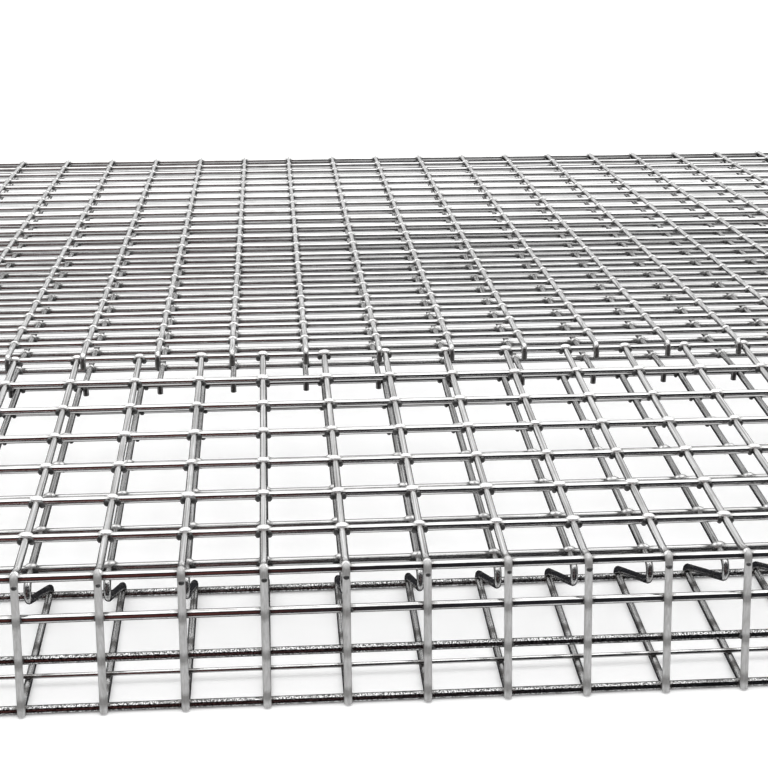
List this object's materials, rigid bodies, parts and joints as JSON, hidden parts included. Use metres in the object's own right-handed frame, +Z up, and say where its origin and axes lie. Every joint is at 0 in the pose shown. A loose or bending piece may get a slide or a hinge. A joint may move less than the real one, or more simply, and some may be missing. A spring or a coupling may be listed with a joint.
{
  "type": "welded wire mesh panel",
  "caption": "Stepped welded wire mesh panel: a two-layer deck bent down to the floor in front, with two long mesh sheets hooked on behind it and sloping to the floor.",
  "frame": {"origin": "centre of the underside of the bounding box, on the floor under the middle of the panel", "axes": "+X along the cross wires, to the right seen from the bent front edge; +Y away from the front edge, along the long wires; +Z up from the floor"},
  "size_m": [1.22, 1.2979, 0.0924],
  "materials": {
    "bright_wire": "bright drawn steel wire, glossy",
    "dark_wire": "drawn steel wire, satin, seen from above through the upper layer"
  },
  "bodies": {
    "root": {"top_deck": "bright_wire", "front_face": "bright_wire", "floor_return": "dark_wire", "lower_deck": "dark_wire", "lower_legs": "dark_wire", "rear_sheet_near": "bright_wire", "rear_sheet_middle": "bright_wire", "rear_sheet_far": "bright_wire", "lower_rear_sheet_near": "dark_wire", "lower_rear_sheet_middle": "dark_wire", "lower_rear_sheet_far": "dark_wire"}
  },
  "joints": []
}
